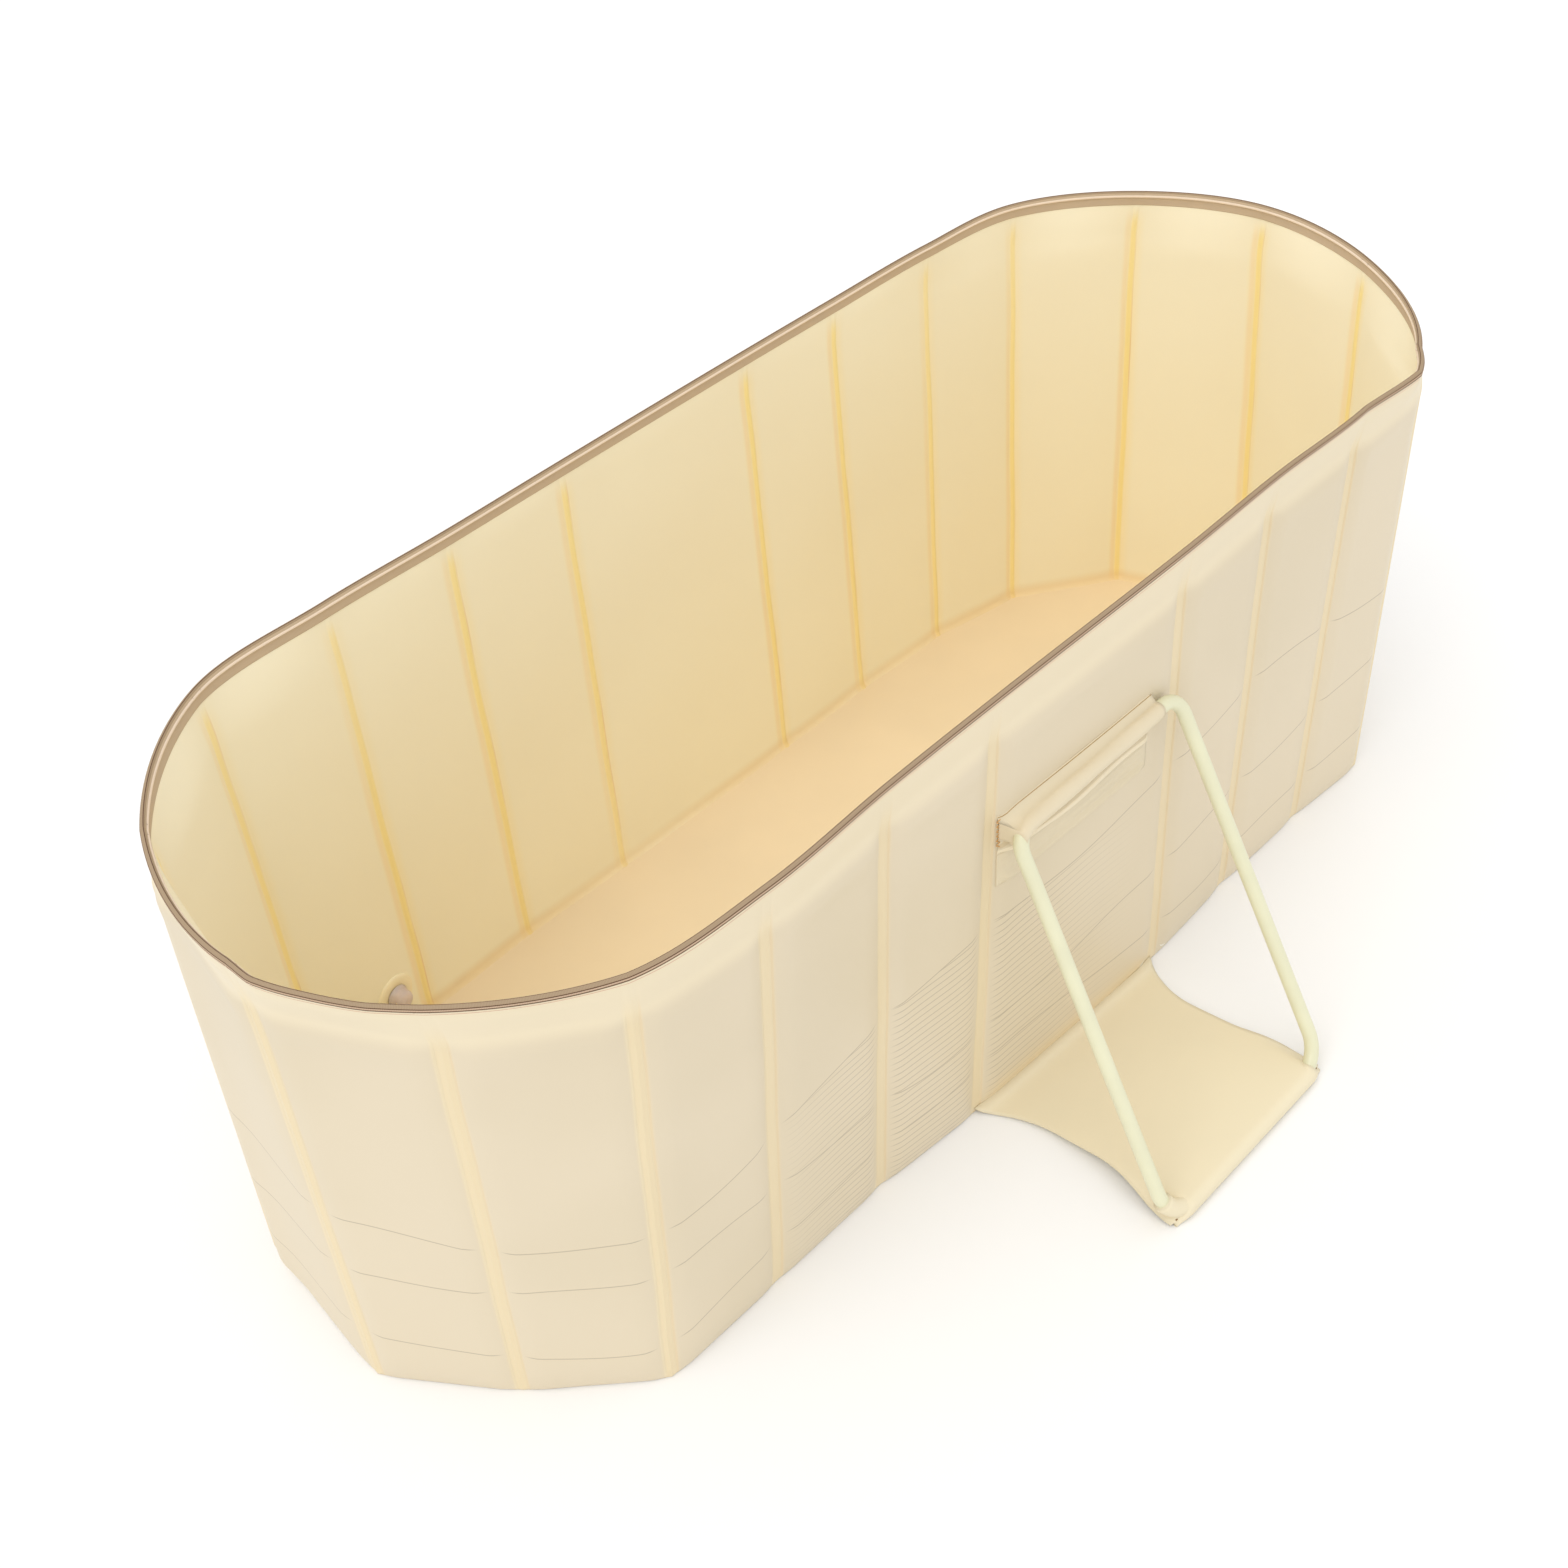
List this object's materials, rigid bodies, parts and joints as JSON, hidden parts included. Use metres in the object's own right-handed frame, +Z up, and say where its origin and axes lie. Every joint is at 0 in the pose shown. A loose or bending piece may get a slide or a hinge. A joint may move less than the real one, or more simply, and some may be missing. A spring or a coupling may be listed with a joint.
{
  "type": "foldable bathtub",
  "caption": "Long oval foldable bathtub: a ring of stiff panels on a soft floor sheet, a zip rim, and a folding tube stand on each long side.",
  "frame": {"origin": "on the floor at the middle of the tub, bottom centre of its bounding box", "axes": "+X along the tub towards its right end, +Y across it towards the far wall with the drain, +Z up"},
  "size_m": [1.4356, 0.9818, 0.55],
  "materials": {
    "wall_film": "satin film",
    "stiffener_board": "matte",
    "zip_tape": "woven tape",
    "floor_film": "satin film",
    "painted_tube": "satin paint",
    "flap_film": "satin film",
    "drain_plastic": "soft plastic"
  },
  "bodies": {
    "near_wall": {"near_wall_cover": "wall_film", "near_wall_board_1": "stiffener_board", "near_wall_board_2": "stiffener_board", "near_wall_board_3": "stiffener_board", "near_wall_board_4": "stiffener_board", "near_wall_board_5": "stiffener_board", "near_wall_board_6": "stiffener_board", "near_wall_board_7": "stiffener_board", "near_wall_zip_tape": "zip_tape", "floor_sheet": "floor_film", "near_stand_sleeve": "wall_film", "near_stand_flap": "flap_film"},
    "right_shoulder_near": {"right_shoulder_near_cover": "wall_film", "right_shoulder_near_board_1": "stiffener_board", "right_shoulder_near_zip_tape": "zip_tape"},
    "right_end_near": {"right_end_near_cover": "wall_film", "right_end_near_board_1": "stiffener_board", "right_end_near_zip_tape": "zip_tape"},
    "right_end_far": {"right_end_far_cover": "wall_film", "right_end_far_board_1": "stiffener_board", "right_end_far_zip_tape": "zip_tape"},
    "right_shoulder_far": {"right_shoulder_far_cover": "wall_film", "right_shoulder_far_board_1": "stiffener_board", "right_shoulder_far_zip_tape": "zip_tape"},
    "far_wall": {"far_wall_cover": "wall_film", "far_wall_board_1": "stiffener_board", "far_wall_board_2": "stiffener_board", "far_wall_board_3": "stiffener_board", "far_wall_board_4": "stiffener_board", "far_wall_board_5": "stiffener_board", "far_wall_board_6": "stiffener_board", "far_wall_board_7": "stiffener_board", "far_wall_zip_tape": "zip_tape", "drain_fitting": "drain_plastic", "far_stand_sleeve": "wall_film", "far_stand_flap": "flap_film"},
    "left_shoulder_far": {"left_shoulder_far_cover": "wall_film", "left_shoulder_far_board_1": "stiffener_board", "left_shoulder_far_zip_tape": "zip_tape"},
    "left_end_far": {"left_end_far_cover": "wall_film", "left_end_far_board_1": "stiffener_board", "left_end_far_zip_tape": "zip_tape"},
    "left_end_near": {"left_end_near_cover": "wall_film", "left_end_near_board_1": "stiffener_board", "left_end_near_zip_tape": "zip_tape"},
    "left_shoulder_near": {"left_shoulder_near_cover": "wall_film", "left_shoulder_near_board_1": "stiffener_board", "left_shoulder_near_zip_tape": "zip_tape"},
    "near_stand": {"near_stand_loop": "painted_tube", "near_stand_hem": "flap_film"},
    "far_stand": {"far_stand_loop": "painted_tube", "far_stand_hem": "flap_film"},
    "drain_plug": {"drain_plug": "drain_plastic"}
  },
  "joints": [
    {"name": "wall_closing", "type": "slide", "parent": "near_wall", "child": "far_wall", "axis": [0, -1, 0], "range_m": [0, 0.44856], "deforming": ["floor_sheet"]},
    {"name": "left_near_shoulder_fold", "type": "hinge", "parent": "near_wall", "child": "left_shoulder_near", "pos_m": [-0.54211, -0.24838, 0], "axis": [0, 0, 1], "range_deg": [0, 39.01]},
    {"name": "left_near_end_fold", "type": "hinge", "parent": "left_shoulder_near", "child": "left_end_near", "pos_m": [-0.65583, -0.14453, 0], "axis": [0, 0, 1], "range_deg": [0, 25.21]},
    {"name": "left_tip_fold", "type": "hinge", "parent": "left_end_near", "child": "left_end_far", "pos_m": [-0.70901, 0, 0], "axis": [0, 0, -1], "range_deg": [0, 128.43]},
    {"name": "left_far_end_fold", "type": "hinge", "parent": "left_end_far", "child": "left_shoulder_far", "pos_m": [-0.65583, 0.14453, 0], "axis": [0, 0, 1], "range_deg": [0, 25.21]},
    {"name": "right_near_shoulder_fold", "type": "hinge", "parent": "near_wall", "child": "right_shoulder_near", "pos_m": [0.54211, -0.24838, 0], "axis": [0, 0, -1], "range_deg": [0, 39.01]},
    {"name": "right_near_end_fold", "type": "hinge", "parent": "right_shoulder_near", "child": "right_end_near", "pos_m": [0.65583, -0.14453, 0], "axis": [0, 0, -1], "range_deg": [0, 25.21]},
    {"name": "right_tip_fold", "type": "hinge", "parent": "right_end_near", "child": "right_end_far", "pos_m": [0.70901, 0, 0], "axis": [0, 0, 1], "range_deg": [0, 128.43]},
    {"name": "right_far_end_fold", "type": "hinge", "parent": "right_end_far", "child": "right_shoulder_far", "pos_m": [0.65583, 0.14453, 0], "axis": [0, 0, -1], "range_deg": [0, 25.21]},
    {"name": "near_stand_fold", "type": "hinge", "parent": "near_wall", "child": "near_stand", "pos_m": [0, -0.2853, 0.392], "axis": [1, 0, 0], "range_deg": [0, 26], "deforming": ["near_stand_flap"]},
    {"name": "far_stand_fold", "type": "hinge", "parent": "far_wall", "child": "far_stand", "pos_m": [0, 0.2853, 0.392], "axis": [-1, 0, 0], "range_deg": [0, 26], "deforming": ["far_stand_flap"]},
    {"name": "drain_plug_pull", "type": "slide", "parent": "far_wall", "child": "drain_plug", "axis": [0.1132, -0.9936, 0], "range_m": [0, 0.016]}
  ],
  "couplings": [
    {"joint": "left_near_shoulder_fold", "follows": "wall_closing", "rad_per_m": 1.5178},
    {"joint": "left_near_end_fold", "follows": "wall_closing", "rad_per_m": 0.98083},
    {"joint": "left_tip_fold", "follows": "wall_closing", "rad_per_m": 4.9972},
    {"joint": "left_far_end_fold", "follows": "wall_closing", "rad_per_m": 0.98083},
    {"joint": "right_near_shoulder_fold", "follows": "wall_closing", "rad_per_m": 1.5178},
    {"joint": "right_near_end_fold", "follows": "wall_closing", "rad_per_m": 0.98083},
    {"joint": "right_tip_fold", "follows": "wall_closing", "rad_per_m": 4.9972},
    {"joint": "right_far_end_fold", "follows": "wall_closing", "rad_per_m": 0.98083}
  ]
}
